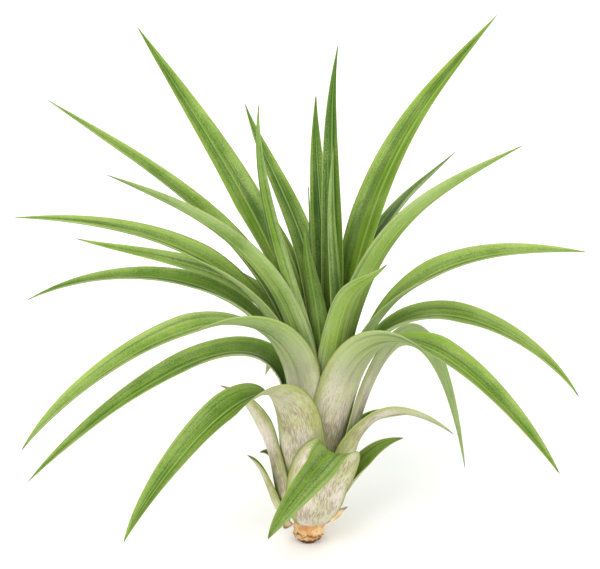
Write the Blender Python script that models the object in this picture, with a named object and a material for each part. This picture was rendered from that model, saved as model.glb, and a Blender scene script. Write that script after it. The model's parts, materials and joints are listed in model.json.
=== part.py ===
"""Air plant: a rosette of long channelled leaves, sheathed round a short stem that ends in a cut stub.

The plant stands on its stub and leans back until the low leaves behind it touch the floor.
Every leaf follows one rule. Its sheath climbs close round the stem, then its blade leaves along one
smooth curve to a needle tip, while its section stays a shallow channel that opens upwards.
"""
import math

import bmesh
import bpy
from mathutils import Matrix, Vector

MM = 0.001
LEAN_BACK = math.radians(12.0)      # how far the stem leans towards +Y
FLOOR_RISE = math.tan(LEAN_BACK)    # height of the floor along the stem, for each mm towards the back

# Stem, in mm along and across its own axis
CUT_RADIUS = 3.2
STUB_HEIGHT = 10.5
STUB_RADIUS = 6.8
STEM_TAPER = 0.46
STEM_TOP = 30.0
STEM_SIDES = 16
STEM_DRIFT = 0.085                  # how far the stem's axis strays to +X for each mm up

# Sheaths, in mm. All of them swell alike, so they nest without touching
SWELL = 8.0
SWELL_START = 10.5                  # height at which the sheaths start to swell
SWELL_HEIGHT = 7.0
FLARE = 0.06
WAIST = 26.0                        # height at which each sheath's ring radius is told
INNER_RING = 2.4
RING_STEP = 0.6
SHEATH_THICKNESS = 0.34
SEAT_GAP = 0.3
WRAP_LIMIT = 0.8                    # the widest half angle of an inner sheath's wrap, in radians
WIDE_LIMIT = 1.3                    # and of an outer sheath's
SHEATH_TOP = 24.0
SHEATH_TOP_GAIN = 3.0
SHEATH_TOP_RING = 16.0
SHEATH_LEVELS = (5, 8, 12, 17, 24, 34, 48)

# Blades
BLADE_THICKNESS = 0.8
BLADE_HALF_ANGLE = 0.80             # half the angle of the channel's arc, in radians
TIP_HALF_ANGLE = 1.15
TAPER_POWER = 2.7
TIP_HANDLE = 0.36
BLADE_RINGS = 9
ACROSS = 4                          # facets across a leaf
WIDE_ACROSS = 8                     # and across one with a wide sheath

# Leaves from the outermost to the innermost, in mm and degrees about the stem (0 to the right,
# 90 to the back): name, azimuth at the base, azimuth of the tip, reach and height of the tip,
# how far the blade first rises, lean of the tip (0 up, 90 level, 180 down), width, and roll.
LEAVES = [
    ("scale_front", 326, 326, 19, 17, 5, 50, 9, 0),
    ("scale_left", 225, 225, 14, 8, 3, 50, 7, 0),
    ("scale_back", 60, 60, 18, 14, 4, 50, 9, 0),
    ("leaf_left_10", 188, 200, 26, 38, 6, 50, 14, 0),
    ("leaf_front_2", 275, 250, 46, 13, 40, 135, 17, -75),
    ("leaf_right_7", 8, 5, 39, 42, 16, 75, 14, 20),
    ("leaf_left_9", 150, 172, 20, 36, 12, 110, 7, 0),
    ("leaf_left_8", 196, 190, 36, 66, 20, 65, 14, 25),
    ("leaf_back_1", 92, 92, 105, None, 80, 125, 13, 0),
    ("leaf_right_8", 26, 10, 42, 51, 24, 85, 13, -15),
    ("leaf_left_7", 247, 218, 90, 15, 83, 148, 20, -55),
    ("leaf_right_6", 338, 345, 60, 48, 34, 122, 14, -10),
    ("leaf_right_4", 340, 42, 92, None, 62, 170, 14, 0),
    ("leaf_left_6", 155, 158, 130, None, 75, 135, 18, -35),
    ("leaf_right_3", 294, 332, 109, 41, 90, 140, 20, 60),
    ("leaf_back_2", 115, 100, 110, 45, 85, 120, 13, 0),
    ("leaf_left_5", 235, 203, 120, 49, 89, 142, 20, -52),
    ("leaf_back_3", 70, 84, 95, 50, 85, 125, 11, 0),
    ("leaf_left_11", 178, 170, 118, 95, 69, 118, 15, -30),
    ("leaf_right_2", 0, 12, 115, 54, 76, 146, 16, 50),
    ("leaf_left_3", 197, 174, 120, 131, 70, 90, 17, -45),
    ("leaf_left_4", 124, 148, 117, 115, 65, 80, 12, -10),
    ("leaf_right_1", 345, 350, 111, 122, 66, 92, 18, 30),
    ("leaf_left_2", 232, 205, 86, 155, 66, 66, 13, 0),
    ("leaf_left_1", 160, 162, 113, 177, 66, 58, 16, -10),
    ("leaf_front_1", 285, 303, 55, 122, 65, 52, 12, 0),
    ("leaf_right_5", 305, 338, 89, 166, 77, 60, 13, 0),
    ("leaf_back_4", 102, 108, 50, 100, 42, 95, 8, 0),
    ("leaf_top_11", 30, 50, 100, 151, 80, 62, 15, 0),
    ("leaf_top_7", 99, 115, 67, 148, 44, 46, 10, 0),
    ("leaf_top_1", 43, 45, 115, 209, 96, 52, 20, 0),
    ("leaf_top_2", 160, 138, 97, 205, 52, 43, 17, -50),
    ("leaf_top_5", 98, 108, 88, 171, 62, 48, 12, 0),
    ("leaf_top_10", 330, 295, 23, 164, 40, 8, 10, 0),
    ("leaf_top_6", 226, 225, 27, 181, 26, -10, 12, 0),
    ("leaf_top_4", 84, 86, 48, 178, 50, 28, 12, 0),
    ("leaf_top_3", 60, 74, 45, 199, 55, 28, 12, 0),
    ("leaf_top_9", 262, 262, 10, 132, 35, 5, 9, 0),
    ("leaf_top_8", 180, 180, 0, 146, 35, 3, 6, 0),
]

# Widths round the stem of the outer sheaths, in mm, which wrap further than their blades are wide
WIDE_BASES = {
    "leaf_left_10": 19, "leaf_front_2": 27, "leaf_right_7": 18, "leaf_left_8": 22, "leaf_right_8": 16,
    "leaf_left_7": 22, "leaf_right_6": 23, "leaf_right_3": 18, "leaf_left_5": 18,
}

# Extra distance from the stem's axis, in mm, for sheaths next to one whose blade turns sharply
EXTRA_ROOM = {
    "leaf_right_3": 0.6, "leaf_right_4": 2.4, "leaf_left_8": 1.2, "leaf_left_9": 0.8,
    "leaf_front_2": 2.6, "leaf_left_10": 1.2,
}

# Heights at which the low sheaths end and their blades start, in mm
LOW_TOPS = {"leaf_front_2": 34, "leaf_left_10": 12, "leaf_right_7": 16, "leaf_left_8": 24}

# Blades that leave their sheaths aslant: the azimuth that they lean to, and how much
ASLANT = {"leaf_front_2": (340, 0.5)}

# Length of the tip's handle, in mm, for a blade that hangs straight down a long way
LONG_HANG = {"leaf_right_4": 92}


def swelling(height):
    """How far out any sheath has swelled at this height."""
    return SWELL * (1 - math.exp(-(height - SWELL_START) / SWELL_HEIGHT)) + FLARE * (height - SWELL_START)


def stem_radius(height):
    """The stem's radius above the stub."""
    return max(0.9, STUB_RADIUS - STEM_TAPER * (height - STUB_HEIGHT))


def seat_height(ring):
    """Where a sheath of this ring radius meets the stem, found by halving."""
    low = 2.0
    high = STEM_TOP - 1
    for step in range(30):
        height = (low + high) / 2
        sheath = ring + swelling(height) - swelling(WAIST)
        if sheath < stem_radius(height) + SEAT_GAP + SHEATH_THICKNESS / 2:
            low = height
        else:
            high = height
    return high


def turn_between(one, other):
    """The angle between two azimuths, in radians."""
    return abs((one - other + 180) % 360 - 180) * math.pi / 180


def nest_rings(leaves):
    """Give each leaf its ring radius, from the innermost outwards, clear of those under it."""
    rings = {}
    placed = []
    for leaf in reversed(leaves):
        name, azimuth, width = leaf[0], leaf[1], leaf[7]
        ring = INNER_RING
        settled = False
        while not settled:
            settled = True
            for other_name, other_azimuth, other_width, other_ring in placed:
                meet = half_wrap(name, width, ring) + half_wrap(other_name, other_width, other_ring) + 0.08
                near = turn_between(azimuth, other_azimuth) < meet
                if near and ring < other_ring + RING_STEP - 1e-6:
                    ring = other_ring + RING_STEP
                    settled = False
        ring += EXTRA_ROOM.get(name, 0)
        placed.append((name, azimuth, width, ring))
        rings[name] = ring
    return rings


def half_wrap(name, width, ring):
    """Half the angle that a sheath wraps round the stem, in radians."""
    if name in WIDE_BASES:
        return min(WIDE_LIMIT, WIDE_BASES[name] / (2 * ring))
    return min(WRAP_LIMIT, width / (2 * ring))


def axis_point(height):
    """The middle of the stem and of every sheath at this height."""
    return Vector((STEM_DRIFT * height, 0, height))


def bezier(points, t):
    """A point on a cubic curve."""
    a, b, c, d = points
    u = 1 - t
    return a * u ** 3 + b * (3 * u * u * t) + c * (3 * u * t * t) + d * t ** 3


def heading(azimuth):
    """The level unit vector that points at this azimuth."""
    angle = math.radians(azimuth)
    return Vector((math.cos(angle), math.sin(angle), 0))


def leaf_line(leaf, ring):
    """The leaf's middle line: sheath points, then the blade's four curve points."""
    name, azimuth, tip_azimuth, reach, height, rise, tip_lean, width, roll = leaf
    outward = heading(azimuth)
    seat = seat_height(ring)
    offset = ring - swelling(WAIST)
    if height is None:
        height = FLOOR_RISE * reach * math.sin(math.radians(tip_azimuth)) + 0.2
    tip = heading(tip_azimuth) * reach + Vector((0, 0, height))
    start = axis_point(seat) + outward * (offset + swelling(seat))
    top = LOW_TOPS.get(name, SHEATH_TOP + SHEATH_TOP_GAIN * (SHEATH_TOP_RING - ring))
    top = seat + (top - seat) * min(1.0, (tip - start).length / 45)
    sheath = []
    for level in [seat] + [level for level in SHEATH_LEVELS if seat + 1.5 < level < top - 3]:
        sheath.append((axis_point(level) + outward * (offset + swelling(level)), offset + swelling(level)))
    base = axis_point(top) + outward * (offset + swelling(top))
    slope = (swelling(top + 0.1) - swelling(top - 0.1)) / 0.2
    slant_azimuth, slant = ASLANT.get(name, (0, 0.0))
    climb = outward * slope + heading(slant_azimuth) * slant + Vector((STEM_DRIFT, 0, 1))
    climb.normalize()
    lean = math.radians(tip_lean)
    fall = heading(tip_azimuth) * math.sin(lean) + Vector((0, 0, math.cos(lean)))
    handle = LONG_HANG.get(name, TIP_HANDLE * (tip - base).length)
    return sheath, [base, base + climb * rise, tip - fall * handle, tip]


def leaf_rings(leaf, ring):
    """Centre, inward and side vectors, width, half angle and thickness of each ring."""
    azimuth, width = leaf[1], leaf[7]
    outward = heading(azimuth)
    side = Vector((-outward.y, outward.x, 0))
    sheath, curve = leaf_line(leaf, ring)
    wrap = half_wrap(leaf[0], width, ring)
    rings = []
    for centre, radius in sheath:
        rings.append((centre, -outward, side, 2 * wrap * radius, wrap, SHEATH_THICKNESS))
    inward = -outward
    base_radius = sheath_radius(ring, curve[0].z)
    base_width = 2 * wrap * base_radius
    for i in range(BLADE_RINGS + 1):
        t = (i / BLADE_RINGS) ** 0.9
        centre = bezier(curve, t)
        along = (bezier(curve, min(1.0, t + 0.01)) - bezier(curve, max(0.0, t - 0.01))).normalized()
        inward = (inward - along * inward.dot(along)).normalized()
        cross = inward.cross(along)
        if cross.dot(side) < 0:
            cross = -cross
        side = cross
        ease = min(1.0, t / 0.35)
        ease = ease * ease * (3 - 2 * ease)
        twist = Matrix.Rotation(math.radians(leaf[8]) * ease * min(1.0, 4 * t * t), 3, along)
        full = base_width + (width - base_width) * ease
        curl = base_radius + (width / (2 * BLADE_HALF_ANGLE) - base_radius) * ease
        angle = full / (2 * curl) + (TIP_HALF_ANGLE - BLADE_HALF_ANGLE) * t ** 4
        wide = full * (1 - t ** TAPER_POWER)
        thick = SHEATH_THICKNESS + (BLADE_THICKNESS - SHEATH_THICKNESS) * ease
        thick *= 1 - 0.6 * t
        rings.append((centre, twist @ inward, twist @ side, wide, angle, thick))
    return rings


def sheath_radius(ring, height):
    """How far a sheath stands from the stem's axis at this height."""
    return ring + swelling(height) - swelling(WAIST)


def section(across, centre, inward, side, wide, angle, thick):
    """One closed ring of the channel: its outer face across and its inner face back."""
    radius = wide / (2 * angle)
    outer = []
    inner = []
    for i in range(across + 1):
        v = 2 * i / across - 1
        middle = centre + side * (math.sin(v * angle) * radius)
        middle += inward * ((1 - math.cos(v * angle)) * radius)
        normal = side * math.sin(v * angle) - inward * math.cos(v * angle)
        half = thick * (1 - v * v) / 2
        if i in (0, across):
            outer.append(middle)
        else:
            outer.append(middle + normal * half)
            inner.append(middle - normal * half)
    return outer + inner[::-1]


def make_object(name, bm, material):
    """Lean the mesh back, turn it into metres and into a named object."""
    turn = Matrix.Rotation(-LEAN_BACK, 4, "X")
    bmesh.ops.recalc_face_normals(bm, faces=bm.faces)
    for vertex in bm.verts:
        vertex.co = (turn @ vertex.co) * MM
    mesh = bpy.data.meshes.new(name)
    bm.to_mesh(mesh)
    bm.free()
    mesh.materials.append(material)
    for face in mesh.polygons:
        face.use_smooth = True
    thing = bpy.data.objects.new(name, mesh)
    bpy.context.collection.objects.link(thing)
    return thing


def skin(bm, rows, tip=None):
    """Join rings of vertices into a closed skin, ending in a point if a tip is given."""
    loops = []
    for row in rows:
        loops.append([bm.verts.new(point) for point in row])
    count = len(rows[0])
    for low, high in zip(loops, loops[1:]):
        for i in range(count):
            j = (i + 1) % count
            bm.faces.new((low[i], low[j], high[j], high[i]))
    bm.faces.new(loops[0][::-1])
    if tip is None:
        bm.faces.new(loops[-1])
        return
    end = bm.verts.new(tip)
    for i in range(count):
        bm.faces.new((loops[-1][i], loops[-1][(i + 1) % count], end))


def make_leaf(leaf, ring, material):
    """One leaf or scale as one closed solid."""
    rings = leaf_rings(leaf, ring)
    across = WIDE_ACROSS if leaf[0] in WIDE_BASES else ACROSS
    rows = [section(across, *values) for values in rings[:-1]]
    bm = bmesh.new()
    skin(bm, rows, rings[-1][0])
    bmesh.ops.triangulate(bm, faces=bm.faces)
    return make_object(leaf[0], bm, material)


def make_stem(material):
    """The stem with its stub, whose cut face lies level on the floor."""
    levels = [0.0, 2.2, STUB_HEIGHT, 12.0, 16.0, 20.0, 24.0, STEM_TOP]
    radii = [CUT_RADIUS, 5.4, STUB_RADIUS] + [stem_radius(level) for level in levels[3:]]
    rows = []
    for level, radius in zip(levels, radii):
        row = []
        for i in range(STEM_SIDES):
            angle = math.tau * i / STEM_SIDES
            x = radius * math.cos(angle) + STEM_DRIFT * level
            y = radius * math.sin(angle)
            height = level
            if level == 0.0:
                height = FLOOR_RISE * y
            row.append(Vector((x, y, height)))
        rows.append(row)
    bm = bmesh.new()
    skin(bm, rows)
    return make_object("stem", bm, material)


def make_material(name, colour, roughness):
    """A plain material with its shader inputs set."""
    material = bpy.data.materials.new(name)
    material.use_nodes = True
    shader = material.node_tree.nodes["Principled BSDF"]
    shader.inputs["Base Color"].default_value = (*colour, 1.0)
    shader.inputs["Roughness"].default_value = roughness
    shader.inputs["Metallic"].default_value = 0.0
    return material


for old in list(bpy.data.objects):
    bpy.data.objects.remove(old)

leaf_green = make_material("leaf_green", (0.16, 0.30, 0.06), 0.55)
dry_scale = make_material("dry_scale", (0.48, 0.33, 0.17), 0.75)
stem_tan = make_material("stem_tan", (0.55, 0.33, 0.13), 0.8)

make_stem(stem_tan)
ring_radii = nest_rings(LEAVES)
for row in LEAVES:
    make_leaf(row, ring_radii[row[0]], dry_scale if row[0].startswith("scale") else leaf_green)
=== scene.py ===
# %% [markdown]
# # An air plant
#
# This lesson builds the looks of an air plant: a rosette of three dozen long leaves, wrapped at their
# bases round a short stem that was cut off below. The plant stands on the cut end of its stem, and leans
# back until three low leaves rest their tips on the floor. Lengths are in millimetres along the plant's
# own axis until a mesh is finished, and then in metres on the floor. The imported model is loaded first,
# because it gives the nodes that the fine pieces stand for.

import json
import math
import random
from types import SimpleNamespace

import bmesh
import bpy
from mathutils import Matrix, Vector, noise

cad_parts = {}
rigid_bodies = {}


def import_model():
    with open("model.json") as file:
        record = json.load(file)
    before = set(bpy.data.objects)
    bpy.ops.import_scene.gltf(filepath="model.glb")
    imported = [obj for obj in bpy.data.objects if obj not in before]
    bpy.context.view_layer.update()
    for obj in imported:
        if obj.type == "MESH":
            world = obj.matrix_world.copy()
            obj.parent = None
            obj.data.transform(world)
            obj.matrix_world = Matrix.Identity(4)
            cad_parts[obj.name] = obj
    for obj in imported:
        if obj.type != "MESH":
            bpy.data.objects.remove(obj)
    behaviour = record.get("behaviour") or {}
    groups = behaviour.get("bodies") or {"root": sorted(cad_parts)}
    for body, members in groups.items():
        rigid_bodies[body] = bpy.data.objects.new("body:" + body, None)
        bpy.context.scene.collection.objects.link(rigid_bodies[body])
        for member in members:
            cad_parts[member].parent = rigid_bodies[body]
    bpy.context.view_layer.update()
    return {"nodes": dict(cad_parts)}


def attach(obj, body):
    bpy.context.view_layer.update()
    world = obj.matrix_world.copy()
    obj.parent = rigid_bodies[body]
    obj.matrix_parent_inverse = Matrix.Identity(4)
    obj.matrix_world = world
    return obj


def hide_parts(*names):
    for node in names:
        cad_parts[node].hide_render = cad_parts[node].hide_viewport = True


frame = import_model()
print("nodes in the frame:", len(frame["nodes"]))

# %% [markdown]
# ## How a leaf grows
#
# Every leaf follows one rule. It starts at a seat on the stem, climbs close round it as a sheath, and
# then leaves along one smooth curve to a needle tip. A cubic curve is enough for that: its first handle
# points the way the sheath climbs, and its second the way the tip points. The sheaths share one swelling
# outline and differ only in their radius, so they nest like cups and never cut into each other.

# %% Sizes of the plant
MM = 0.001
LEAN_BACK = math.radians(12.0)
FLOOR_RISE = math.tan(LEAN_BACK)

CUT_RADIUS = 3.2
STUB_SHOULDER = 2.2
STUB_SHOULDER_RADIUS = 5.4
STUB_HEIGHT = 10.5
STUB_RADIUS = 6.8
STEM_TAPER = 0.46
STEM_THINNEST = 0.9
STEM_TOP = 30.0
# How far the stem's axis strays to the right for each millimetre up
STEM_DRIFT = 0.085

SWELL = 8.0
SWELL_START = 10.5
SWELL_HEIGHT = 7.0
FLARE = 0.06
# The height at which a sheath's ring radius is told, the smallest ring, and the step to the next
WAIST = 26.0
INNER_RING = 2.4
RING_STEP = 0.6
SHEATH_THICKNESS = 0.34
SEAT_GAP = 0.3
# The widest half angles of wrap, in radians, of an inner and of an outer sheath, and the gap between two
WRAP_LIMIT = 0.8
WIDE_LIMIT = 1.3
WRAP_GAP = 0.08
# Outer sheaths end lower: the height of the top at one ring, and how much it drops with each millimetre.
# A leaf that reaches less far than SHORT_LEAF has a shorter sheath, in proportion
SHEATH_TOP = 24.0
SHEATH_TOP_GAIN = 3.0
SHEATH_TOP_RING = 16.0
SHORT_LEAF = 45.0

BLADE_THICKNESS = 0.8
TIP_THINNING = 0.6
# Half the angle of the channel's arc, in radians, along the blade and at its tip
BLADE_HALF_ANGLE = 0.80
TIP_HALF_ANGLE = 1.15
TAPER_POWER = 2.7
TIP_HANDLE = 0.36
TIP_CLEARANCE = 0.2
# How far along the blade it has opened out from its sheath, and has taken all of its roll
OPEN_BY = 0.35
ROLLED_BY = 0.5
print("plant leans back", round(math.degrees(LEAN_BACK)), "degrees")

# %% [markdown]
# ## The leaves, one row each
#
# A row gives a leaf its place and its gesture: the azimuths of base and tip, how far and how high the tip
# reaches, how long it keeps rising, how its tip leans, and how its blade rolls over. The last two numbers
# are its colour: how light it is, and how warm, from bluish to yellow green. No two leaves of a real plant
# match, and these small differences do more for it than any texture. A few leaves break the rule, and the
# short lists under the rows say how.

# %% Leaves, from the outermost to the innermost
# Azimuths are in degrees about the stem, 0 to the right and 90 to the back. The columns are: name, azimuth
# at the base, azimuth of the tip, reach and height of the tip (None rests on the floor), how far the blade
# first rises, lean of the tip (0 up, 90 level, 180 down), width, roll, light, warm
LEAVES = [
    ("scale_front", 326, 326, 19, 17, 5, 50, 9, 0, 0.0, 0.0),
    ("scale_left", 225, 225, 14, 8, 3, 50, 7, 0, 0.0, 0.0),
    ("scale_back", 60, 60, 18, 14, 4, 50, 9, 0, 0.0, 0.0),
    ("leaf_left_10", 188, 200, 26, 38, 6, 50, 14, 0, 0.3, 0.5),
    ("leaf_front_2", 275, 250, 46, 13, 40, 135, 17, -75, 0.6, -0.1),
    ("leaf_right_7", 8, 5, 39, 42, 16, 75, 14, 20, 0.8, 0.5),
    ("leaf_left_9", 150, 172, 20, 36, 12, 110, 7, 0, 0.2, 0.2),
    ("leaf_left_8", 196, 190, 36, 66, 20, 65, 14, 25, 0.3, 0.7),
    ("leaf_back_1", 92, 92, 105, None, 80, 125, 13, 0, 0.0, 0.1),
    ("leaf_right_8", 26, 10, 42, 51, 24, 85, 13, -15, 0.2, 0.1),
    ("leaf_left_7", 247, 218, 90, 15, 83, 148, 20, -55, 0.1, 0.2),
    ("leaf_right_6", 338, 345, 60, 48, 34, 122, 14, -10, 0.1, 0.2),
    ("leaf_right_4", 340, 42, 92, None, 62, 170, 14, 0, 0.1, 0.2),
    ("leaf_left_6", 155, 158, 130, None, 75, 135, 18, -35, 0.1, 0.2),
    ("leaf_right_3", 294, 332, 109, 41, 90, 140, 20, 60, 0.2, 0.3),
    ("leaf_back_2", 115, 100, 110, 45, 85, 120, 13, 0, 0.0, 0.0),
    ("leaf_left_5", 235, 203, 120, 49, 89, 142, 20, -52, 0.5, 0.1),
    ("leaf_back_3", 70, 84, 95, 50, 85, 125, 11, 0, -0.1, 0.1),
    ("leaf_left_11", 178, 170, 118, 95, 69, 118, 15, -30, 0.0, 0.1),
    ("leaf_right_2", 0, 12, 115, 54, 76, 146, 16, 50, 0.4, 0.9),
    ("leaf_left_3", 197, 174, 120, 131, 70, 90, 17, -45, 0.4, 0.5),
    ("leaf_left_4", 124, 148, 117, 115, 65, 80, 12, -10, 0.5, 0.0),
    ("leaf_right_1", 345, 350, 111, 122, 66, 92, 18, 30, 0.4, 0.4),
    ("leaf_left_2", 232, 205, 86, 155, 66, 66, 13, 0, 0.3, 0.1),
    ("leaf_left_1", 160, 162, 113, 177, 66, 58, 16, -10, 0.1, 0.1),
    ("leaf_front_1", 285, 303, 55, 122, 65, 52, 12, 0, 1.0, 1.2),
    ("leaf_right_5", 305, 338, 89, 166, 77, 60, 13, 0, 0.3, 0.5),
    ("leaf_back_4", 102, 108, 50, 100, 42, 95, 8, 0, -0.1, 0.0),
    ("leaf_top_11", 30, 50, 100, 151, 80, 62, 15, 0, -0.4, 0.0),
    ("leaf_top_7", 99, 115, 67, 148, 44, 46, 10, 0, 0.0, 0.3),
    ("leaf_top_1", 43, 45, 115, 209, 96, 52, 20, 0, 0.0, 0.9),
    ("leaf_top_2", 160, 138, 97, 205, 52, 43, 17, -50, 0.0, 0.2),
    ("leaf_top_5", 98, 108, 88, 171, 62, 48, 12, 0, 0.0, 0.0),
    ("leaf_top_10", 330, 295, 23, 164, 40, 8, 10, 0, 0.2, 0.1),
    ("leaf_top_6", 226, 225, 27, 181, 26, -10, 12, 0, 0.3, 0.0),
    ("leaf_top_4", 84, 86, 48, 178, 50, 28, 12, 0, -0.2, -0.5),
    ("leaf_top_3", 60, 74, 45, 199, 55, 28, 12, 0, -0.4, -0.6),
    ("leaf_top_9", 262, 262, 10, 132, 35, 5, 9, 0, 0.3, -0.1),
    ("leaf_top_8", 180, 180, 0, 146, 35, 3, 6, 0, 0.0, -0.3),
]
# Length of the tip's handle for a blade that hangs straight down a long way
LONG_HANG = {"leaf_right_4": 92}
# Extra distance from the stem's axis for sheaths next to one whose blade turns sharply
EXTRA_ROOM = {
    "leaf_right_3": 0.6, "leaf_right_4": 2.4, "leaf_left_8": 1.2, "leaf_left_9": 0.8,
    "leaf_front_2": 2.6, "leaf_left_10": 1.2,
}
# A blade that leaves its sheath aslant: the azimuth that it leans to, and how much
ASLANT = {"leaf_front_2": (340, 0.5)}
# Heights at which the low sheaths end and their blades start
LOW_TOPS = {"leaf_front_2": 34, "leaf_left_10": 12, "leaf_right_7": 16, "leaf_left_8": 24}
# Widths round the stem of the outer sheaths, which wrap further than their blades are wide
WIDE_BASES = {
    "leaf_left_10": 19, "leaf_front_2": 27, "leaf_right_7": 18, "leaf_left_8": 22,
    "leaf_right_8": 16, "leaf_left_7": 22, "leaf_right_6": 23, "leaf_right_3": 18, "leaf_left_5": 18,
}
print("leaves and scales:", len(LEAVES))

# %% [markdown]
# ## Nesting the sheaths
#
# The innermost leaf takes the smallest ring round the stem. Each next leaf takes the smallest ring that
# clears all the leaves it overlaps, so the bundle of bases thickens outwards just as it does on the plant,
# where the youngest leaves push up in the middle. Each sheath then starts low on the stem, where its own
# swelling outline meets it.

# %% Swelling, stem and seats
SEAT_LOWEST = 2.0
HALVINGS = 30


def swelling(height):
    """How far out any sheath has swelled at this height."""
    return SWELL * (1 - math.exp(-(height - SWELL_START) / SWELL_HEIGHT)) + FLARE * (height - SWELL_START)


def stem_radius(height):
    """The stem's radius at this height above the cut."""
    if height < STUB_SHOULDER:
        return CUT_RADIUS + (STUB_SHOULDER_RADIUS - CUT_RADIUS) * height / STUB_SHOULDER
    if height < STUB_HEIGHT:
        share = (height - STUB_SHOULDER) / (STUB_HEIGHT - STUB_SHOULDER)
        return STUB_SHOULDER_RADIUS + (STUB_RADIUS - STUB_SHOULDER_RADIUS) * share
    return max(STEM_THINNEST, STUB_RADIUS - STEM_TAPER * (height - STUB_HEIGHT))


def seat_height(ring):
    """Where a sheath of this ring radius meets the stem, found by halving."""
    low = SEAT_LOWEST
    high = STEM_TOP - 1
    for step in range(HALVINGS):
        height = (low + high) / 2
        stem = max(STEM_THINNEST, STUB_RADIUS - STEM_TAPER * (height - STUB_HEIGHT))
        if ring + swelling(height) - swelling(WAIST) < stem + SEAT_GAP + SHEATH_THICKNESS / 2:
            low = height
        else:
            high = height
    return high


print("the smallest ring starts", round(seat_height(INNER_RING), 1), "mm up the stem")

# %% A ring for each leaf


def half_wrap(name, width, ring):
    """Half the angle that a sheath wraps round the stem, in radians."""
    if name in WIDE_BASES:
        return min(WIDE_LIMIT, WIDE_BASES[name] / (2 * ring))
    return min(WRAP_LIMIT, width / (2 * ring))


def nest_rings(leaves):
    """Give each leaf its ring radius, from the innermost outwards, clear of those it overlaps."""
    rings = {}
    placed = []
    for leaf in reversed(leaves):
        name, azimuth, width = leaf[0], leaf[1], leaf[7]
        ring = INNER_RING
        settled = False
        while not settled:
            settled = True
            for other_name, other_azimuth, other_width, other_ring in placed:
                meet = half_wrap(name, width, ring) + half_wrap(other_name, other_width, other_ring)
                turn = abs((azimuth - other_azimuth + 180) % 360 - 180) * math.pi / 180
                near = turn < meet + WRAP_GAP
                if near and ring < other_ring + RING_STEP - 1e-6:
                    ring = other_ring + RING_STEP
                    settled = False
        ring += EXTRA_ROOM.get(name, 0)
        placed.append((name, azimuth, width, ring))
        rings[name] = ring
    return rings


ring_radii = nest_rings(LEAVES)
print("rings from", min(ring_radii.values()), "to", round(max(ring_radii.values()), 2), "mm")

# %% [markdown]
# ## A leaf, ring by ring
#
# A leaf is a stack of rings, each a shallow channel seen end on: an outer face, an inner face and two thin
# margins. A few directions and curves place them.

# %% Directions and curves


def heading(azimuth):
    """The level unit vector that points at this azimuth."""
    angle = math.radians(azimuth)
    return Vector((math.cos(angle), math.sin(angle), 0))


def axis_point(height):
    """The middle of the stem and of every sheath at this height."""
    return Vector((STEM_DRIFT * height, 0, height))


def bezier(points, t):
    """A point on a cubic curve."""
    a, b, c, d = points
    u = 1 - t
    return a * u ** 3 + b * (3 * u * u * t) + c * (3 * u * t * t) + d * t ** 3


def ease(value):
    """A smooth step from 0 to 1."""
    value = min(1.0, max(0.0, value))
    return value * value * (3 - 2 * value)


print("the stem's axis at its top:", [round(value, 2) for value in axis_point(STEM_TOP)])

# %% [markdown]
# A leaf's middle line has two parts. The sheath's part follows the swelling outline, from the seat on the
# stem to the sheath's top. The blade's part is one cubic curve, and its handles come from the row: how far
# the blade first rises, and how its tip leans.

# %% The middle line of a leaf
SHEATH_RING_SPACING = 2.0


def leaf_line(leaf, ring):
    """The leaf's middle line: sheath points with their radii, then the blade's four curve points."""
    name, azimuth, tip_azimuth, reach, height, rise, tip_lean = leaf[:7]
    outward = heading(azimuth)
    seat = seat_height(ring)
    offset = ring - swelling(WAIST)
    if height is None:
        height = FLOOR_RISE * reach * math.sin(math.radians(tip_azimuth)) + TIP_CLEARANCE
    tip = heading(tip_azimuth) * reach + Vector((0, 0, height))
    start = axis_point(seat) + outward * (offset + swelling(seat))
    top = LOW_TOPS.get(name, SHEATH_TOP + SHEATH_TOP_GAIN * (SHEATH_TOP_RING - ring))
    top = seat + (top - seat) * min(1.0, (tip - start).length / SHORT_LEAF)
    sheath = []
    steps = max(2, round((top - seat) / SHEATH_RING_SPACING))
    for i in range(steps):
        level = seat + (top - seat) * i / steps
        sheath.append((axis_point(level) + outward * (offset + swelling(level)), offset + swelling(level)))
    base = axis_point(top) + outward * (offset + swelling(top))
    slope = (swelling(top + 0.1) - swelling(top - 0.1)) / 0.2
    slant_azimuth, slant = ASLANT.get(name, (0, 0.0))
    climb = (outward * slope + Vector((STEM_DRIFT, 0, 1)) + heading(slant_azimuth) * slant).normalized()
    lean = math.radians(tip_lean)
    fall = heading(tip_azimuth) * math.sin(lean) + Vector((0, 0, math.cos(lean)))
    handle = LONG_HANG.get(name, TIP_HANDLE * (tip - base).length)
    return sheath, [base, base + climb * rise, tip - fall * handle, tip]


print("points along the first sheath:", len(leaf_line(LEAVES[0], ring_radii[LEAVES[0][0]])[0]))

# %% [markdown]
# Rings a few millimetres apart make the blades flow. The channel opens out as it leaves its sheath, rolls
# over, and narrows to the tip. It has a slight keel along its middle, which catches the light as the line
# that runs down a real blade. Where the blade leaves its sheath the turn would show as a crease, so the
# rings on both sides of that joint are averaged a few times.

# %% The rings of a leaf
BLADE_RINGS = 46
RING_CROWDING = 0.9
NEARBY = 0.01
KEEL = 0.30
SOFT_PASSES = 4
SOFT_REACH = 4


def soften(rings, joint):
    """Ease the turn where the blade leaves its sheath, by averaging neighbouring rings."""
    rings = [list(values) for values in rings]
    for turn in range(SOFT_PASSES):
        before = [list(values) for values in rings]
        for i in range(max(1, joint - SOFT_REACH), joint + SOFT_REACH + 1):
            for part in range(3):
                middle = before[i - 1][part] + before[i][part] * 2 + before[i + 1][part]
                rings[i][part] = middle / 4 if part == 0 else middle.normalized()
    return rings


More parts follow.
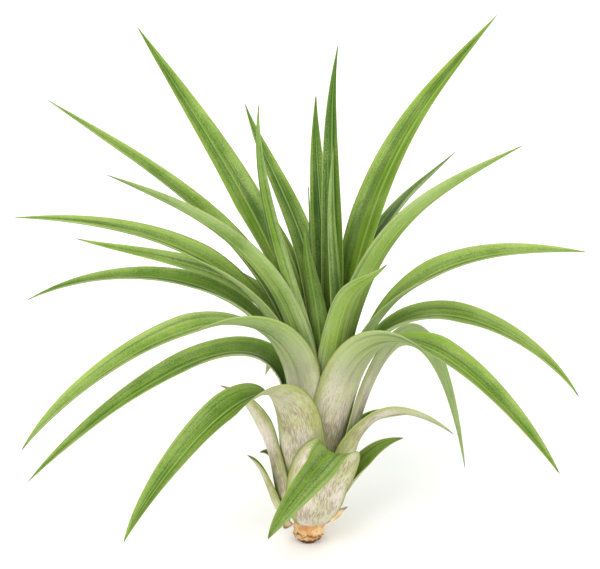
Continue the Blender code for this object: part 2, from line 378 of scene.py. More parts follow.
def leaf_rings(leaf, ring):
    """Centre, inward and side vectors, width, half angle, thickness and keel of each ring."""
    azimuth, width, roll = leaf[1], leaf[7], leaf[8]
    outward = heading(azimuth)
    side = Vector((-outward.y, outward.x, 0))
    sheath, curve = leaf_line(leaf, ring)
    wrap = half_wrap(leaf[0], width, ring)
    rings = []
    for centre, radius in sheath:
        rings.append((centre, -outward, side, 2 * wrap * radius, wrap, SHEATH_THICKNESS, 0.0))
    inward = -outward
    base_radius = ring + swelling(curve[0].z) - swelling(WAIST)
    base_width = 2 * wrap * base_radius
    for i in range(BLADE_RINGS + 1):
        t = (i / BLADE_RINGS) ** RING_CROWDING
        centre = bezier(curve, t)
        ahead = bezier(curve, min(1.0, t + NEARBY))
        along = (ahead - bezier(curve, max(0.0, t - NEARBY))).normalized()
        inward = (inward - along * inward.dot(along)).normalized()
        cross = inward.cross(along)
        side = cross if cross.dot(side) > 0 else -cross
        open_out = ease(t / OPEN_BY)
        twist = Matrix.Rotation(math.radians(roll) * open_out * min(1.0, (t / ROLLED_BY) ** 2), 3, along)
        full = base_width + (width - base_width) * open_out
        curl = base_radius + (width / (2 * BLADE_HALF_ANGLE) - base_radius) * open_out
        angle = full / (2 * curl) + (TIP_HALF_ANGLE - BLADE_HALF_ANGLE) * t ** 4
        wide = full * (1 - t ** TAPER_POWER)
        thick = SHEATH_THICKNESS + (BLADE_THICKNESS - SHEATH_THICKNESS) * open_out
        thick *= 1 - TIP_THINNING * t
        rings.append((centre, twist @ inward, twist @ side, wide, angle, thick, KEEL * open_out * (1 - t)))
    return soften(rings, len(sheath))


print("rings of a leaf:", len(leaf_rings(LEAVES[-1], ring_radii[LEAVES[-1][0]])))

# %% [markdown]
# The mesh of a leaf is made by hand rather than from a tube, so that both margins stay sharp. The vertices
# of each ring run across the outer face, and then back along the inner one.

# %% One ring of vertices
ACROSS = 20
KEEL_WIDTH = 0.13
MARGIN_POWER = 4


def section(centre, inward, side, wide, angle, thick, keel):
    """One closed ring: (point, across, inner) for the outer face, then back along the inner face."""
    radius = wide / (2 * angle)
    outer = []
    inner = []
    for i in range(ACROSS + 1):
        v = 2 * i / ACROSS - 1
        drop = keel * math.exp(-(v / KEEL_WIDTH) ** 2)
        middle = centre + side * (math.sin(v * angle) * radius)
        middle += inward * ((1 - math.cos(v * angle)) * radius - drop)
        normal = side * math.sin(v * angle) - inward * math.cos(v * angle)
        half = thick * (1 - abs(v) ** MARGIN_POWER) / 2
        if i in (0, ACROSS):
            outer.append((middle, v, 0.5))
        else:
            outer.append((middle + normal * half, v, 0.0))
            inner.append((middle - normal * half, v, 1.0))
    return outer + inner[::-1]


def lean(point):
    """A point on the plant, leant back and in metres."""
    return Matrix.Rotation(-LEAN_BACK, 3, "X") @ point * MM


print("vertices in a ring:", 2 * ACROSS)

# %% [markdown]
# Any stack of rings becomes a closed mesh in the same way: four-sided faces join each ring to the next, and
# each end is capped or drawn to a point. The stem and its torn collars use the same helpers.

# %% Skins and objects


def walls(bm, pairs):
    """Four-sided faces between each pair of loops of vertices."""
    for low, high in pairs:
        for i in range(len(low)):
            j = (i + 1) % len(low)
            bm.faces.new((low[i], low[j], high[j], high[i]))


def skin(bm, rows, tip=None):
    """Join rings of vertices into a closed skin, ending in a point if a tip is given."""
    loops = [[bm.verts.new(point) for point in row] for row in rows]
    walls(bm, zip(loops, loops[1:]))
    bm.faces.new(loops[0][::-1])
    last = loops[-1]
    if tip is None:
        bm.faces.new(last)
        return
    end = bm.verts.new(tip)
    for i in range(len(last)):
        bm.faces.new((last[i], last[(i + 1) % len(last)], end))


def mesh_object(name, bm, numbers):
    """A smooth object from a bmesh, with its named numbers kept on the vertices."""
    bmesh.ops.recalc_face_normals(bm, faces=bm.faces)
    mesh = bpy.data.meshes.new(name)
    bm.to_mesh(mesh)
    bm.free()
    for label, values in numbers.items():
        kept = mesh.attributes.new(label, "FLOAT", "POINT")
        kept.data.foreach_set("value", values)
    for face in mesh.polygons:
        face.use_smooth = True
    thing = bpy.data.objects.new(name, mesh)
    bpy.context.scene.collection.objects.link(thing)
    return thing


print("helpers:", walls.__name__, skin.__name__, mesh_object.__name__)

# %% [markdown]
# Each vertex of a leaf keeps a few numbers for the finish: how far across and along the leaf it lies, which
# face it is on, whether it is on the blade, and the colour and the age of its leaf.

# %% The mesh of a leaf, with its numbers
BLADE_FADE = 30
LEAF_NUMBERS = ("across", "climb", "to_tip", "inner", "light", "warm", "blade", "age")


def put_numbers(numbers, leaf, across, inner, length, full, blade_start):
    """Add one vertex's numbers to the lists."""
    share = ease((length - blade_start) / BLADE_FADE)
    age = 1 - LEAVES.index(leaf) / len(LEAVES)
    values = (across, length, full - length, inner, leaf[9], leaf[10], share, age)
    for label, value in zip(LEAF_NUMBERS, values):
        numbers[label].append(value)


def leaf_object(leaf, ring):
    """The fine mesh of one leaf or scale."""
    rings = leaf_rings(leaf, ring)
    lengths = [seat_height(ring)]
    for one, other in zip(rings, rings[1:]):
        lengths.append(lengths[-1] + (other[0] - one[0]).length)
    blade_start = lengths[len(rings) - BLADE_RINGS - 1]
    numbers = {label: [] for label in LEAF_NUMBERS}
    rows = []
    for values, length in zip(rings[:-1], lengths):
        row = section(*values)
        rows.append([lean(point) for point, across, inner in row])
        for point, across, inner in row:
            put_numbers(numbers, leaf, across, inner, length, lengths[-1], blade_start)
    bm = bmesh.new()
    skin(bm, rows, lean(rings[-1][0]))
    put_numbers(numbers, leaf, 0.0, 0.5, lengths[-1], lengths[-1], blade_start)
    return mesh_object(leaf[0] + "_fine", bm, numbers)


print("numbers on each vertex of a leaf:", len(LEAF_NUMBERS))

# %% [markdown]
# ## Writing nodes as sums
#
# Shader and geometry trees are easier to read as arithmetic. A Wire wraps a socket, and a sum of wires adds
# the Math nodes. Every other node comes from one method of Graph, which takes its type, its settings and
# what goes into its sockets.

# %% A wire


class Wire:
    """An output socket that can be used in sums."""

    def __init__(self, graph, socket):
        self.graph = graph
        self.socket = socket

    def maths(self, operation, first, second):
        return self.graph.node("ShaderNodeMath", {"operation": operation}, {0: first, 1: second})

    def __add__(self, other):
        return self.maths("ADD", self, other)

    def __radd__(self, other):
        return self.maths("ADD", other, self)

    def __sub__(self, other):
        return self.maths("SUBTRACT", self, other)

    def __rsub__(self, other):
        return self.maths("SUBTRACT", other, self)

    def __mul__(self, other):
        return self.maths("MULTIPLY", self, other)

    def __rmul__(self, other):
        return self.maths("MULTIPLY", other, self)

    def __abs__(self):
        return self.maths("ABSOLUTE", self, 0.0)


print("a wire can be added, subtracted, multiplied and made positive")

# %% A graph


class Graph:
    """A node tree, with one method that adds any node."""

    def __init__(self, tree):
        self.tree = tree

    def node(self, kind, settings=None, inputs=None, output=0):
        """Add a node, set it up, fill its sockets and return one output."""
        new = self.tree.nodes.new(kind)
        for key, value in (settings or {}).items():
            if key == "stops":
                self.set_stops(new.color_ramp, value)
            else:
                setattr(new, key, value)
        for key, value in (inputs or {}).items():
            if isinstance(value, Wire):
                self.tree.links.new(value.socket, new.inputs[key])
            else:
                new.inputs[key].default_value = value
        return Wire(self, new.outputs[output])

    def set_stops(self, ramp, stops):
        """Place a ramp's stops: (position, colour)."""
        while len(ramp.elements) < len(stops):
            ramp.elements.new(0.5)
        for element, (position, colour) in zip(ramp.elements, stops):
            element.position = position
            element.color = colour

    def step(self, value, low, high):
        """A smooth step from 0 where value is low to 1 where it is high."""
        settings = {"interpolation_type": "SMOOTHSTEP"}
        return self.node("ShaderNodeMapRange", settings, {0: value, 1: low, 2: high, 3: 0.0, 4: 1.0})

    def mix(self, share, one, other):
        """One colour turning into the other."""
        return self.node("ShaderNodeMix", {"data_type": "RGBA"}, {0: share, 6: one, 7: other}, 2)

    def number(self, label):
        """A number kept on the mesh's vertices."""
        return self.node("ShaderNodeAttribute", {"attribute_name": label}, {}, 2)


print("one method adds any node:", Graph.node.__name__)

# %% [markdown]
# ## Ribs and ripples by Geometry Nodes
#
# A living blade is not machined. Faint ribs run along it, and its surface ripples. Both follow a rule, so a
# geometry tree makes them: it reads the numbers on the mesh, moves each point along its normal, and leaves
# the sheaths, which lie close together, almost still. The ribs fade out towards the tip. Its inputs are
# named, so that the dry scales can use the same tree with deeper ripples.

# %% Helpers for geometry trees


def new_tree(name, inputs):
    """A geometry tree with named inputs: its graph, its group input and the inputs' identifiers."""
    tree = bpy.data.node_groups.new(name, "GeometryNodeTree")
    tree.interface.new_socket(name="Geometry", in_out="INPUT", socket_type="NodeSocketGeometry")
    identifiers = {}
    for label, kind in inputs.items():
        item = tree.interface.new_socket(name=label, in_out="INPUT", socket_type=kind)
        identifiers[label] = item.identifier
    tree.interface.new_socket(name="Geometry", in_out="OUTPUT", socket_type="NodeSocketGeometry")
    start = tree.nodes.new("NodeGroupInput")
    graph = Graph(tree)
    wires = {label: Wire(graph, start.outputs[label]) for label in ["Geometry", *inputs]}
    return graph, wires, identifiers


def end_tree(graph, geometry, material):
    """Close a geometry tree: plain mesh, then its finish."""
    real = graph.node("GeometryNodeRealizeInstances", {}, {"Geometry": geometry})
    done = graph.node("GeometryNodeSetMaterial", {}, {"Geometry": real, "Material": material})
    end = graph.tree.nodes.new("NodeGroupOutput")
    graph.tree.links.new(done.socket, end.inputs["Geometry"])


def grow(thing, tree, identifiers, values):
    """Run a geometry tree on an object and keep its result as a plain mesh."""
    modifier = thing.modifiers.new("growth", "NODES")
    modifier.node_group = tree
    for label, value in values.items():
        modifier[identifiers[label]] = value
    depsgraph = bpy.context.evaluated_depsgraph_get()
    grown = bpy.data.meshes.new_from_object(thing.evaluated_get(depsgraph), depsgraph=depsgraph)
    thing.modifiers.clear()
    thing.data = grown
    return thing


print("a geometry tree ends in Realize Instances and Set Material")

# %% A tree that finishes a leaf
# How much of its ripples a sheath keeps, and the distances from the tip between which the ribs fade in
SHEATH_RIPPLE = 0.15
TIP_FADE = (2.0, 30.0)
leaf_graph, given, leaf_inputs = new_tree("leaf_ribs_and_ripples", {
    "Rib height": "NodeSocketFloat", "Rib count": "NodeSocketFloat", "Ripple height": "NodeSocketFloat",
    "Ripple scale": "NodeSocketFloat", "Seed": "NodeSocketFloat", "Finish": "NodeSocketMaterial"})


def leaf_number(label):
    """A number kept on the leaf's vertices, read in the geometry tree."""
    return leaf_graph.node("GeometryNodeInputNamedAttribute", {"data_type": "FLOAT"}, {"Name": label})


blade = leaf_number("blade")
away = 1 - 2 * leaf_number("inner")
wave = leaf_graph.node("ShaderNodeMath", {"operation": "COSINE"},
                       {0: leaf_number("across") * given["Rib count"] * math.tau})
fade = leaf_graph.step(leaf_number("to_tip"), *TIP_FADE)
place = leaf_graph.node("GeometryNodeInputPosition")
ripple = leaf_graph.node("ShaderNodeTexNoise", {"noise_dimensions": "4D"}, {
    "Vector": place, "W": given["Seed"], "Scale": given["Ripple scale"], "Detail": 1.0})
lift = wave * given["Rib height"] * blade * fade
still = SHEATH_RIPPLE + (1 - SHEATH_RIPPLE) * blade
lift = lift + (ripple - 0.5) * given["Ripple height"] * away * still
normal = leaf_graph.node("GeometryNodeInputNormal")
shift = leaf_graph.node("ShaderNodeVectorMath", {"operation": "SCALE"}, {0: normal, 3: lift})
moved = leaf_graph.node("GeometryNodeSetPosition", {}, {"Geometry": given["Geometry"], "Offset": shift})
end_tree(leaf_graph, moved, given["Finish"])
print("leaf tree has", len(leaf_graph.tree.nodes), "nodes")

# %% [markdown]
# ## The finish of a living leaf
#
# Three things colour an air plant's leaf. The green of the inner face is darkened towards its base by
# painted shade, and is warmer where light comes through. Over it lies a grey felt of tiny scales that drink
# the plant's water. It is a thin bloom on the inner face, thicker on the outer one, and thickest on the
# sheaths, where it turns cream with grey-brown streaks and specks. Last come the details of shape: bands and
# fine veins along the blade, a painted highlight along the keel, pale margins and a dry tip.

# %% Helpers for colours and materials


def paint(red, green, blue):
    """A display colour from 0 to 255 as the linear colour that a shader takes."""
    parts = []
    for value in (red, green, blue):
        share = value / 255
        parts.append(share / 12.92 if share <= 0.04045 else ((share + 0.055) / 1.055) ** 2.4)
    return (*parts, 1.0)


def new_material(name):
    """A material, its graph and its shader."""
    material = bpy.data.materials.new(name)
    material.use_nodes = True
    return material, Graph(material.node_tree), material.node_tree.nodes["Principled BSDF"]


def feed(graph, shader, links, constants):
    """Link what changes over the surface, and set the rest on the sockets."""
    for key, wire in links.items():
        graph.tree.links.new(wire.socket, shader.inputs[key])
    for key, value in constants.items():
        shader.inputs[key].default_value = value


def vector(graph, x, y, z):
    """Three numbers as a vector."""
    return graph.node("ShaderNodeCombineXYZ", {}, {0: x, 1: y, 2: z})


def speckle(graph, where, scale, detail=2.0, roughness=0.5):
    """Noise from 0 to 1 at a place."""
    return graph.node("ShaderNodeTexNoise", {}, {"Vector": where, "Scale": scale, "Detail": detail,
                                                 "Roughness": roughness})


def bumps(graph, strength, distance, height):
    """A normal that shows this height as fine relief."""
    return graph.node("ShaderNodeBump", {}, {"Strength": strength, "Distance": distance, "Height": height})


print("a mid grey is", round(paint(128, 128, 128)[0], 3), "in linear colour")

# %% [markdown]
# Two kinds of noise mark a leaf. Those that follow it are read at the numbers on its vertices, much finer
# across than along, so they draw bands, veins and streaks. A leaf's colour and age give it a part of them to
# itself. Those that lie over the whole plant are read at the place in space, and make dust and blotches.

# %% Marks and tints of a leaf
# How fine across the leaf, how fine along it, detail, roughness
MARKS_ALONG = {
    "broad": (2.2, 0.02, 2.0, 0.5),
    "bands": (5.0, 0.012, 2.0, 0.5),
    "veins": (16.0, 0.03, 3.0, 0.5),
    "fine": (45.0, 0.10, 2.0, 0.5),
    "grain": (24.0, 0.3, 4.0, 0.65),
}
# Scale, detail, roughness
MARKS_OVER = {
    "felt": (900.0, 4.0, 0.7),
    "dust": (2200.0, 2.0, 0.6),
    "blotch": (60.0, 3.0, 0.5),
    "patches": (110.0, 2.0, 0.5),
}
TINTS = {
    "inner green": (38, 78, 6), "warm inner green": (82, 116, 0),
    # The two deep greens are painted shade for the bases of the inner faces, where the leaves close round
    # each other
    "painted shade green": (22, 54, 0), "warm painted shade green": (70, 106, 0), "bloom": (164, 184, 104),
    "outer green": (66, 102, 24), "warm outer green": (122, 156, 2), "grey felt": (164, 178, 126),
    "cream felt": (226, 215, 202), "greenish felt": (184, 188, 128),
    "streak": (126, 104, 80), "speck": (118, 98, 76), "sheath edge": (140, 150, 56),
    "band": (118, 152, 0), "vein": (172, 192, 80), "furrow": (28, 52, 4),
    # The keel tint is a painted highlight along the middle of the blade
    "keel": (180, 198, 116), "margin": (174, 188, 104), "dry tip": (96, 80, 56),
}


def tint(name):
    """One of the leaf's tints, ready for a shader."""
    return paint(*TINTS[name])


def wash(graph, colour, layers):
    """Cover a colour with one tint after another: (how much, which tint)."""
    for share, name in layers:
        colour = graph.mix(share, colour, tint(name))
    return colour


def leaf_marks(graph):
    """The numbers on a leaf's vertices and the noises of its finish, as wires."""
    marks = SimpleNamespace()
    for label in ("across", "climb", "to_tip", "inner", "light", "warm", "age"):
        setattr(marks, label, graph.number(label))
    marks.centred = abs(marks.across)
    own = marks.light * 9 + marks.warm * 5 + marks.age * 31
    for label, (fine_across, fine_along, detail, roughness) in MARKS_ALONG.items():
        where = vector(graph, marks.across * fine_across, marks.climb * fine_along, own)
        setattr(marks, label, speckle(graph, where, 1.0, detail, roughness))
    here = graph.node("ShaderNodeTexCoord", {}, {}, 3)
    for label, (scale, detail, roughness) in MARKS_OVER.items():
        setattr(marks, label, speckle(graph, here, scale, detail, roughness))
    return marks


print("marks:", [*MARKS_ALONG, *MARKS_OVER], "and", len(TINTS), "tints")

# %% [markdown]
# Each face has a function of its own. A mark is turned into a mask by a smooth step between two levels, and
# the mask says how much of the next wash covers what is below it. The mask called bare is 1 on the lower
# sheath, which has lost its green, and reaches higher on older leaves.

# %% The two faces of a leaf


def inner_face(graph, m):
    """Green, darkened towards the base by painted shade, under a thin bloom of felt."""
    warmth = graph.step(m.warm * 0.8 + m.broad * 0.9 - 0.25, -0.5, 1.1)
    green = wash(graph, tint("inner green"), [(warmth, "warm inner green")])
    shaded_green = wash(graph, tint("painted shade green"), [(warmth, "warm painted shade green")])
    # Painted shade: the inner face darkens towards its base, less on lighter leaves, and its bloom thins
    # there
    base_shade = (1 - graph.step(m.climb + m.broad * 24, 70.0, 165.0)) * (1 - m.light * 0.6)
    bloom = m.dust * 0.7 + m.grain * 0.3 + m.blotch * 0.5 + m.light * 0.3 + m.centred * 0.35
    bloom = graph.step(bloom, 0.70, 1.35) * (0.95 - base_shade * 0.5)
    return wash(graph, graph.mix(base_shade * 0.85, green, shaded_green), [(bloom, "bloom")])


def outer_face(graph, m, bare):
    """Grey felt over the green of the blade, and cream felt with streaks and specks where it is bare."""
    warmth = graph.step(m.blotch * 0.7 + m.warm * 0.6, 0.1, 1.0)
    dusty = m.dust * 0.5 + m.grain * 0.5 + m.blotch * 0.5 + m.age * 0.4 + m.centred * 0.2
    living = wash(graph, tint("outer green"), [
        (warmth, "warm outer green"), (graph.step(dusty, 0.65, 1.25) * 0.85, "grey felt")])
    greenish = graph.step(m.blotch + m.broad * 0.4, 0.45, 0.95)
    cream = wash(graph, tint("cream felt"), [(greenish, "greenish felt")])
    streaks = graph.step(m.grain + m.patches * 0.6, 0.68, 1.00) * bare
    specks = graph.step(m.felt, 0.54, 0.72) * bare
    edge = graph.step(m.centred + m.broad * 0.5, 0.86, 1.25) * bare
    return wash(graph, graph.mix(bare, living, cream), [
        (streaks * 0.7, "streak"), (specks * 0.4, "speck"), (edge * 0.75, "sheath edge")])


print("a leaf has an inner and an outer face")

# %% The details, and the whole leaf


def leaf_details(graph, m, bare, colour):
    """Bands, veins and furrows on the living parts, then a painted highlight along the keel, margins and dry
    tip.
    """
    living = 1 - bare * (1 - m.inner)
    bands = graph.step(m.bands, 0.46, 0.72)
    furrows = graph.step(m.veins + m.fine * 0.5, 0.62, 0.34) * 0.3 + graph.step(m.bands, 0.52, 0.30) * 0.45
    # Painted highlight: a pale line down the middle of the blade, where its keel catches the light
    keel = (1 - graph.step(m.centred, 0.02, 0.09)) * (1 - bare)
    margin = graph.step(m.centred, 0.90, 0.98)
    dry = 1 - graph.step(m.to_tip + m.blotch * 4, 2.0, 7.0)
    return wash(graph, colour, [
        (bands * 0.55 * living, "band"), ((m.veins - 0.5) * 0.7 * living, "vein"),
        (furrows * living, "furrow"), (keel * 0.35, "keel"), (margin * 0.5, "margin"),
        (dry * 0.85, "dry tip")])


def living_leaf():
    """The finish of every green leaf."""
    material, graph, shader = new_material("living_leaf")
    m = leaf_marks(graph)
    bare = 1 - graph.step(m.climb - m.age * 35 - m.blotch * 20 - m.grain * 12, 14.0, 62.0)
    faces = graph.mix(graph.step(m.inner, 0.4, 0.6), outer_face(graph, m, bare), inner_face(graph, m))
    colour = leaf_details(graph, m, bare, faces)
    rough = 0.50 + m.felt * 0.14 + (1 - m.inner) * 0.10
    relief = m.veins * 0.5 + m.fine * 0.3 + m.felt * 0.35 + m.grain * 0.4
    feed(graph, shader,
         {"Base Color": colour, "Roughness": rough, "Normal": bumps(graph, 0.35, 0.0003, relief)},
         {"Subsurface Weight": 0.12, "Subsurface Scale": 0.002, "Subsurface Radius": (0.5, 1.0, 0.2),
          "Specular IOR Level": 0.25})
    return material


leaf_finish = living_leaf()
print("finish:", leaf_finish.name, "with", len(leaf_finish.node_tree.nodes), "nodes")

# %% [markdown]
# The dry scales at the foot are dead leaf bases. They have lost both green and felt, so they show tan paper
# with brown veins, and they are browner at their edges and burnt at the tip.

# %% The finish of a dry scale


def dry_husk():
    """The finish of the papery brown scales at the foot."""
    material, graph, shader = new_material("dry_husk")
    across = graph.number("across")
    climb = graph.number("climb")
    here = graph.node("ShaderNodeTexCoord", {}, {}, 3)
    veins = speckle(graph, vector(graph, across * 22, climb * 0.08, 0.0), 1.0, 3.0)
    blotch = speckle(graph, here, 140.0, 3.0)
    colour = graph.mix(graph.step(blotch, 0.35, 0.7), paint(236, 214, 172), paint(214, 176, 118))
    colour = graph.mix(graph.step(veins, 0.5, 0.75) * 0.5, colour, paint(170, 118, 66))
    edge = graph.step(abs(across), 0.72, 1.0)
    burnt = 1 - graph.step(graph.number("to_tip"), 0.5, 4.0)
    colour = graph.mix(edge * 0.7, colour, paint(164, 96, 44))
    colour = graph.mix(burnt * 0.8, colour, paint(110, 66, 34))
    feed(graph, shader,
         {"Base Color": colour, "Roughness": 0.55 + veins * 0.25,
          "Normal": bumps(graph, 0.5, 0.0003, veins + blotch)},
         {"Subsurface Weight": 0.1, "Subsurface Scale": 0.001})
    return material


husk_finish = dry_husk()
print("finish:", husk_finish.name)

# %% [markdown]
# ## Growing the leaves
#
# Now each row becomes a piece. Its mesh is grown by the geometry tree, and it stands for the node of the
# same name. Scales take the same tree, with hardly any ribs and stronger, tighter ripples, because a dead
# leaf dries out of shape.

# %% Grow every leaf and scale
LIVING_SURFACE = {
    "Rib height": 0.06 * MM, "Rib count": 2.0, "Ripple height": 0.7 * MM, "Ripple scale": 26.0,
    "Finish": leaf_finish}
DRY_SURFACE = {
    "Rib height": 0.02 * MM, "Rib count": 2.0, "Ripple height": 0.9 * MM, "Ripple scale": 160.0,
    "Finish": husk_finish}
pieces = []
for index, leaf in enumerate(LEAVES):
    surface, slot = (DRY_SURFACE, "dry_scale") if leaf[0].startswith("scale") else (LIVING_SURFACE, "leaf")
    piece = leaf_object(leaf, ring_radii[leaf[0]])
    grow(piece, leaf_graph.tree, leaf_inputs, {**surface, "Seed": float(index)})
    pieces.append((piece, leaf[0], slot))
print("grown:", len(pieces), "pieces,", sum(len(p[0].data.polygons) for p in pieces), "faces")

# %% [markdown]
# ## The cut stem
#
# Below the sheaths the stem ends where it was cut. Old leaves were peeled off there, so it shows flat tan
# facets, and torn collars of their bases with burnt edges. One finish serves them all: it reads a number
# called rim, which says how near to a tear a point is, and darkens there.

# %% The finish of the cut stem


def cut_stem():
    """The finish of the cut stem: pale tan flesh, burnt brown where it tore."""
    material, graph, shader = new_material("cut_stem")
    here = graph.node("ShaderNodeTexCoord", {}, {}, 3)
    rim = graph.number("rim")
    grain = speckle(graph, here, 700.0, 4.0, 0.6)
    blotch = speckle(graph, here, 260.0, 2.0)
    colour = graph.mix(graph.step(blotch, 0.3, 0.7), paint(240, 206, 152), paint(214, 152, 88))
    colour = graph.mix(graph.step(grain, 0.5, 0.75) * 0.5, colour, paint(176, 108, 52))
    torn = graph.step(rim + (grain - 0.5) * 0.7, 0.45, 0.95)
    colour = graph.mix(torn * 0.95, colour, paint(92, 48, 20))
    feed(graph, shader,
         {"Base Color": colour, "Roughness": 0.6 + grain * 0.25,
          "Normal": bumps(graph, 0.7, 0.0004, grain + blotch)}, {})
    return material


stem_finish = cut_stem()
print("finish:", stem_finish.name)

# %% [markdown]
# The core is a stack of rings whose radius varies round and along the stem. Its foot is level with the
# floor, although the stem leans, and its foot's edge is browned by the cut.

# %% The core of the stem
STEM_SIDES = 72
STEM_RINGS = 30
FOOT_CROWDING = 1.6
FACETS = 7
FACET_DEPTH = 0.05
CORE_SHARE = 0.93
UNEVENNESS = 0.25
BROWNED_HEIGHT = 1.5


def facet(angle, height):
    """How far out the stem stands here between two peeled hollows, from 0 to 1."""
    turn = angle * FACETS / math.tau + 0.6 * math.sin(height * 0.7)
    return abs((turn % 1.0) - 0.5) * 2


def core_radius(angle, height):
    """The radius of the uneven stem core."""
    point = Vector((math.cos(angle) * 3, math.sin(angle) * 3, height * 0.8))
    uneven = noise.noise(point) * UNEVENNESS if height < STUB_HEIGHT + 1 else 0.0
    return stem_radius(height) * (CORE_SHARE + FACET_DEPTH * facet(angle, height)) + uneven


def stem_core():
    """The stem's core with its cut foot."""
    rows = []
    rims = []
    for k in range(STEM_RINGS + 1):
        height = STEM_TOP * (k / STEM_RINGS) ** FOOT_CROWDING
        row = []
        for i in range(STEM_SIDES):
            angle = math.tau * i / STEM_SIDES
            radius = core_radius(angle, height)
            x = radius * math.cos(angle) + STEM_DRIFT * height
            y = radius * math.sin(angle)
            level = max(height, FLOOR_RISE * y) if k else FLOOR_RISE * y
            row.append(lean(Vector((x, y, level))))
            rims.append(1.0 - ease(height / BROWNED_HEIGHT))
        rows.append(row)
    bm = bmesh.new()
    skin(bm, rows)
    return mesh_object("stem_core", bm, {"rim": rims})


core = stem_core()
core.data.materials.append(stem_finish)
print("stem core:", len(core.data.polygons), "faces")

# %% [markdown]
# A collar is a thin torn band. Its upper edge hugs the stem, and its lower edge is ragged: a noise of two
# sizes moves it up and down and in and out. It has two walls that meet along both edges, so it is closed.

# %% Torn collars
COLLAR_SIDES = 96
COLLAR_RINGS = 7
COLLAR_THICKNESS = 0.34
COLLAR_GAP = 0.10
FLOOR_GAP = 0.2
# name, height of the upper edge, of the lower edge, how far it stands off below, raggedness, burn, seed
COLLARS = [
    ("torn_collar_high", 11.0, 4.6, 0.45, 3.0, 0.35, 3),
    ("torn_collar_mid", 7.2, 2.6, 0.95, 2.4, 0.8, 11),
    ("torn_collar_low", 3.6, 0.6, 0.90, 1.6, 1.2, 19),
]


def torn_collar(name, top, bottom, flare, ragged, burn, seed):
    """One torn band of old leaf base round the stem."""
    rows = []
    rims = []
    turns = [(k / COLLAR_RINGS, 1) for k in range(COLLAR_RINGS + 1)]
    turns += [(k / COLLAR_RINGS, -1) for k in range(COLLAR_RINGS - 1, 0, -1)]
    for share, wall in turns:
        row = []
        for i in range(COLLAR_SIDES):
            angle = math.tau * i / COLLAR_SIDES
            spot = Vector((math.cos(angle) * 2.2, math.sin(angle) * 2.2, seed))
            tear = noise.noise(spot) * 0.9 + noise.noise(spot * 3.1) * 0.5
            reach = core_radius(angle, bottom) + 2 * flare
            floor = FLOOR_RISE * reach * max(0.0, math.sin(angle)) + FLOOR_GAP
            foot = max(floor, bottom + ragged * tear)
            height = top + (foot - top) * share
            out = COLLAR_GAP + flare * share ** 1.5 * (0.7 + 0.9 * noise.noise(spot * 1.7))
            thick = COLLAR_THICKNESS * (1 - share ** 3) * math.sin(math.pi * min(1.0, share * 3) / 2)
            radius = core_radius(angle, max(0.0, height)) + out + wall * thick / 2
            x = radius * math.cos(angle) + STEM_DRIFT * height
            row.append(lean(Vector((x, radius * math.sin(angle), height))))
            rims.append(burn * share ** 2)
        rows.append(row)
    bm = bmesh.new()
    loops = [[bm.verts.new(point) for point in row] for row in rows]
    walls(bm, zip(loops, loops[1:] + loops[:1]))
    collar = mesh_object(name, bm, {"rim": rims})
    collar.data.materials.append(stem_finish)
    return collar


collars = [torn_collar(*row) for row in COLLARS]
print("collars:", [collar.name for collar in collars])

# %% [markdown]
# Short dry fibres stick out of the tear. They repeat, so a geometry tree sets a small tapered fibre on each
# of a few dozen points, turned outwards and down with some chance in its direction and length.

# %% A tree that plants fibres
FIBRE_TIP_RADIUS = 0.02 * MM
fibre_graph, fibre_given, fibre_inputs = new_tree("torn_fibres", {
    "Length": "NodeSocketFloat", "Thickness": "NodeSocketFloat", "Spread": "NodeSocketFloat",
    "Seed": "NodeSocketInt", "Finish": "NodeSocketMaterial"})
fibre = fibre_graph.node("GeometryNodeMeshCone", {}, {
    "Vertices": 5, "Side Segments": 3, "Radius Top": FIBRE_TIP_RADIUS,
    "Radius Bottom": fibre_given["Thickness"], "Depth": fibre_given["Length"]})
spread = fibre_graph.node("FunctionNodeRandomValue", {"data_type": "FLOAT_VECTOR"}, {
    0: (-1.0, -1.0, -1.0), 1: (1.0, 1.0, 1.0), "Seed": fibre_given["Seed"]})
wander = fibre_graph.node("ShaderNodeVectorMath", {"operation": "SCALE"}, {
    0: spread, 3: fibre_given["Spread"]})
outward = fibre_graph.node("GeometryNodeInputNamedAttribute", {"data_type": "FLOAT_VECTOR"}, {
    "Name": "outward"})
course = fibre_graph.node("ShaderNodeVectorMath", {"operation": "ADD"}, {0: outward, 1: wander})
turned = fibre_graph.node("FunctionNodeAlignRotationToVector", {"axis": "Z"}, {"Vector": course})
sizes = fibre_graph.node("FunctionNodeRandomValue", {"data_type": "FLOAT"}, {
    2: 0.4, 3: 1.0, "Seed": fibre_given["Seed"]}, 1)
planted = fibre_graph.node("GeometryNodeInstanceOnPoints", {}, {
    "Points": fibre_given["Geometry"], "Instance": fibre, "Rotation": turned, "Scale": sizes})
rimmed = fibre_graph.node("GeometryNodeStoreNamedAttribute", {"data_type": "FLOAT", "domain": "POINT"}, {
    "Geometry": fibre_graph.node("GeometryNodeRealizeInstances", {}, {"Geometry": planted}),
    "Name": "rim", "Value": 1.0})
end_tree(fibre_graph, rimmed, fibre_given["Finish"])
print("fibre tree has", len(fibre_graph.tree.nodes), "nodes")

# %% Fibres of the tear
FIBRES = 46
FIBRE_HEIGHTS = [2.4, 4.0, 6.2]
FIBRE_SEED = 5
FIBRE_DROOP = Vector((0, 0, -0.45))


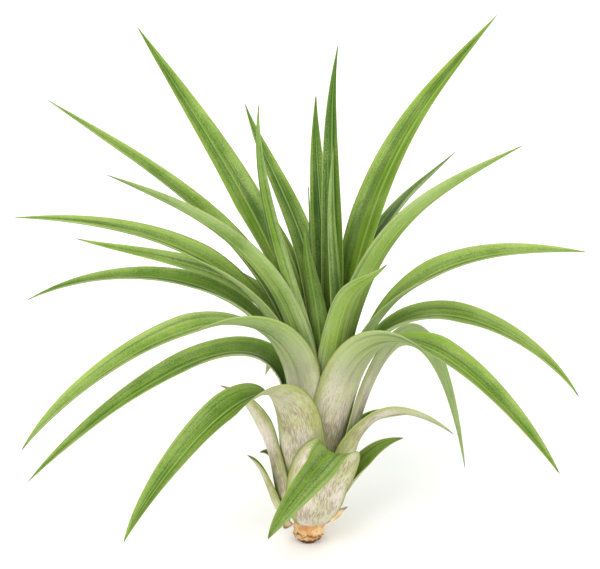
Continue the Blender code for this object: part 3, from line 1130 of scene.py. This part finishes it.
def fibre_points():
    """Points round the tear, each with the way its fibre grows."""
    chance = random.Random(FIBRE_SEED)
    mesh = bpy.data.meshes.new("torn_fibres")
    points = []
    ways = []
    for i in range(FIBRES):
        angle = math.tau * (i + chance.uniform(-0.4, 0.4)) / FIBRES
        height = chance.choice(FIBRE_HEIGHTS) + chance.uniform(-0.3, 0.3) + max(0.0, math.sin(angle))
        radius = core_radius(angle, height) + 0.1
        out = Vector((math.cos(angle), math.sin(angle), 0))
        points.append(lean(out * radius + axis_point(height)))
        ways.extend(Matrix.Rotation(-LEAN_BACK, 3, "X") @ (out * 0.8 + FIBRE_DROOP))
    mesh.from_pydata(points, [], [])
    kept = mesh.attributes.new("outward", "FLOAT_VECTOR", "POINT")
    kept.data.foreach_set("vector", ways)
    thing = bpy.data.objects.new("torn_fibres", mesh)
    bpy.context.scene.collection.objects.link(thing)
    return thing


fibres = grow(fibre_points(), fibre_graph.tree, fibre_inputs, {
    "Length": 1.3 * MM, "Thickness": 0.16 * MM, "Spread": 0.35, "Seed": 4, "Finish": stem_finish})
print("fibres:", len(fibres.data.polygons), "faces")

# %% [markdown]
# ## Joining the frame
#
# Every piece rides on the plant's one body. The fine leaves stand for the nodes they were grown from, and
# the core and the torn pieces stand for the stem.

# %% Pieces ride and stand for their nodes
for piece, node_name, slot in pieces:
    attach(piece, "root")
    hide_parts(node_name)
for piece in [core, *collars, fibres]:
    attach(piece, "root")
    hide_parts("stem")
print("pieces on the body:", len(pieces) + 2 + len(collars))

# %% [markdown]
# ## Floor, light and camera
#
# The plant stands in plain bright light, on a pale floor that runs off into white. Large soft lamps keep the
# shadows between the leaves open, and much of the light comes from the white world, so that the shadow on
# the floor stays faint.

# %% Floor and light
PLANT_MIDDLE = Vector((0.0, 0.02, 0.10))
# name, place, size, power
LAMPS = [
    ("key_lamp", (-0.7, -0.9, 1.3), 1.2, 19.0),
    ("fill_lamp", (1.1, -0.7, 0.6), 1.0, 4.0),
    ("back_lamp", (0.2, 1.1, 1.0), 1.0, 7.0),
]


def studio_floor():
    """A wide pale floor."""
    bm = bmesh.new()
    bmesh.ops.create_grid(bm, x_segments=8, y_segments=8, size=6.0)
    floor = mesh_object("studio_floor", bm, {})
    material, _, shader = new_material("pale_floor")
    shader.inputs["Base Color"].default_value = (0.95, 0.95, 0.95, 1.0)
    shader.inputs["Roughness"].default_value = 0.9
    shader.inputs["Specular IOR Level"].default_value = 0.1
    floor.data.materials.append(material)
    return floor


def soft_lamp(name, place, size, power):
    """A square lamp that faces the plant's middle."""
    data = bpy.data.lights.new(name, "AREA")
    data.size = size
    data.energy = power
    lamp = bpy.data.objects.new(name, data)
    lamp.location = place
    lamp.rotation_euler = (PLANT_MIDDLE - Vector(place)).to_track_quat("-Z", "Y").to_euler()
    bpy.context.scene.collection.objects.link(lamp)


studio_floor()
for row in LAMPS:
    soft_lamp(*row)
world = bpy.data.worlds.new("bright_room")
world.use_nodes = True
background = world.node_tree.nodes["Background"]
background.inputs["Color"].default_value = (1.0, 1.0, 1.0, 1.0)
background.inputs["Strength"].default_value = 0.85
bpy.context.scene.world = world

# %% [markdown]
# The camera looks down a little through a long lens, so the rosette keeps its outline. The plain view
# transform is used, because the usual one greys bright greens.

# %% Camera
CAMERA_TILT = math.radians(22.0)
CAMERA_DISTANCE = 0.9
CAMERA_AIM = Vector((-0.0033, 0.0223, 0.1034))
camera_data = bpy.data.cameras.new("camera")
camera_data.lens = 135.0
camera_data.sensor_width = 36.0
camera = bpy.data.objects.new("camera", camera_data)
behind = Vector((0, -math.cos(CAMERA_TILT), math.sin(CAMERA_TILT)))
camera.location = CAMERA_AIM + behind * CAMERA_DISTANCE
camera.rotation_euler = (math.pi / 2 - CAMERA_TILT, 0, 0)
bpy.context.scene.collection.objects.link(camera)
bpy.context.scene.camera = camera
bpy.context.scene.view_settings.view_transform = "Standard"
print("camera at", [round(value, 3) for value in camera.location])
